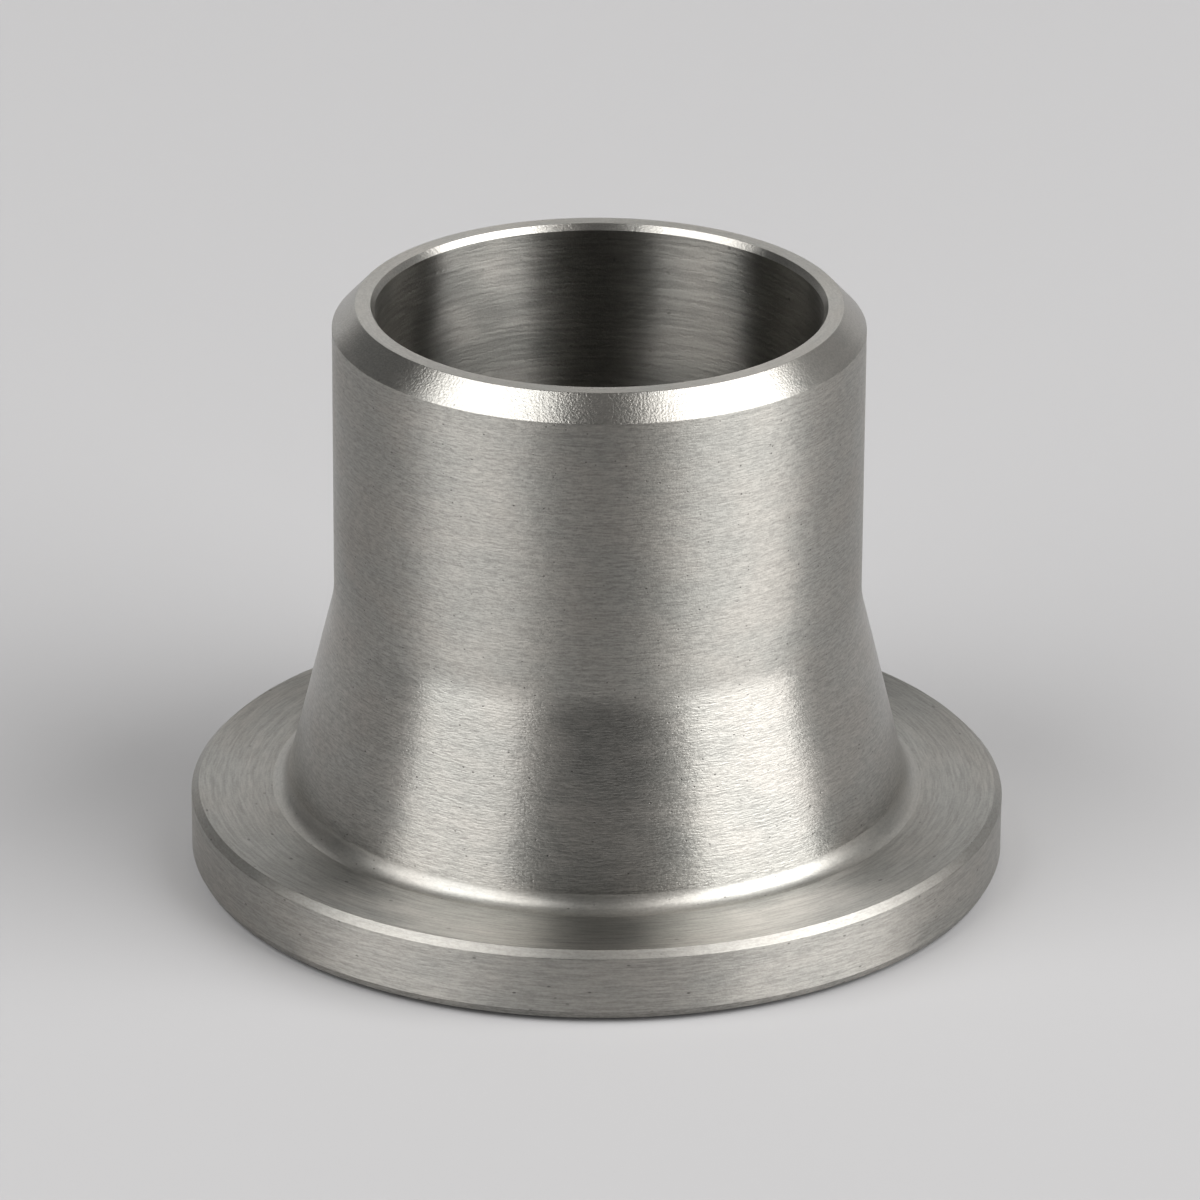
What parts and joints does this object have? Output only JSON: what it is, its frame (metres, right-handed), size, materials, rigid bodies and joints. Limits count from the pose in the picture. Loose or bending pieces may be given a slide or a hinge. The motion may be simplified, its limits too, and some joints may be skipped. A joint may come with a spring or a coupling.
{
  "type": "pipe stub end",
  "caption": "Turned steel stub end: a flat lap with chamfered rim, a tapered hub and a straight pipe neck with a weld bevel, bored through.",
  "frame": {"origin": "centre of the gasket face, on the underside of the lap", "axes": "+Z along the bore from the gasket face to the weld end; X and Y are any two directions across it, because the part is round"},
  "size_m": [0.138, 0.138, 0.0994],
  "materials": {
    "turned_steel": "turned and brushed around the axis, satin"
  },
  "bodies": {
    "root": {"stub_end": "turned_steel"}
  },
  "joints": []
}
